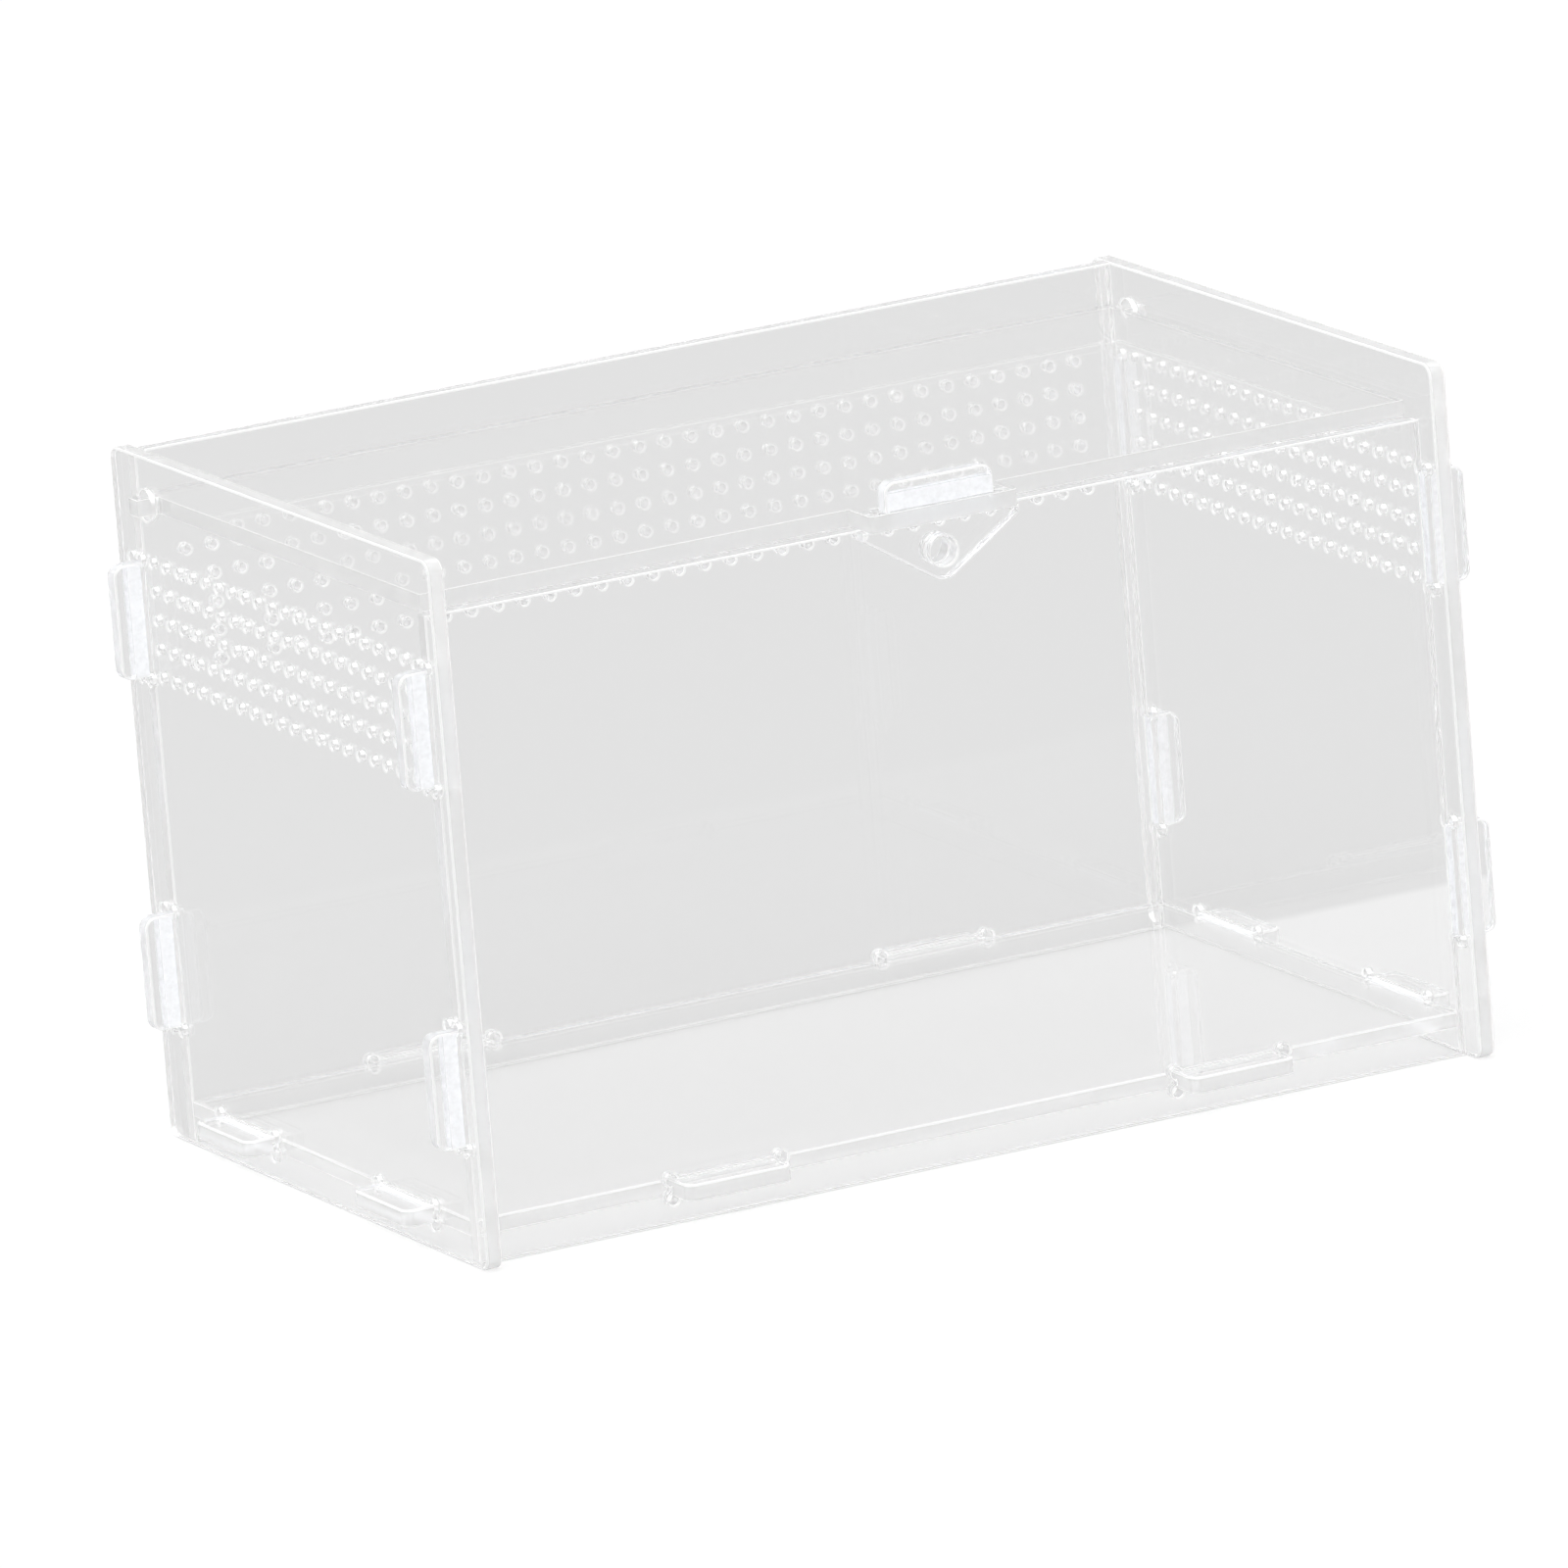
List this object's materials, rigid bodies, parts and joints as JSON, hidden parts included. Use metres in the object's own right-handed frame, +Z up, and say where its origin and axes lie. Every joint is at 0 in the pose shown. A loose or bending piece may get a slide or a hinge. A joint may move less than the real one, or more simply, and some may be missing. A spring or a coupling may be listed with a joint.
{
  "type": "reptile breeding box",
  "caption": "Clear flat-pack box for small reptiles: slotted walls with vent holes, a base held by tabs and a hinged lid with a lock plate.",
  "frame": {"origin": "middle of the footprint, on the surface the box stands on", "axes": "+X along the length, +Y to the back where the lid hinges, +Z up"},
  "size_m": [0.202, 0.12, 0.1213],
  "materials": {
    "clear_acrylic": "clear cast acrylic sheet, polished faces, laser-cut edges"
  },
  "bodies": {
    "box": {"left_end_panel": "clear_acrylic", "right_end_panel": "clear_acrylic", "front_panel": "clear_acrylic", "back_panel": "clear_acrylic", "base_panel": "clear_acrylic"},
    "lid": {"lid_panel": "clear_acrylic", "latch_plate": "clear_acrylic"}
  },
  "joints": [
    {"name": "lid_hinge", "type": "hinge", "parent": "box", "child": "lid", "pos_m": [0, 0.048, 0.1127], "axis": [-1, 0, 0], "range_deg": [0, 106]}
  ]
}
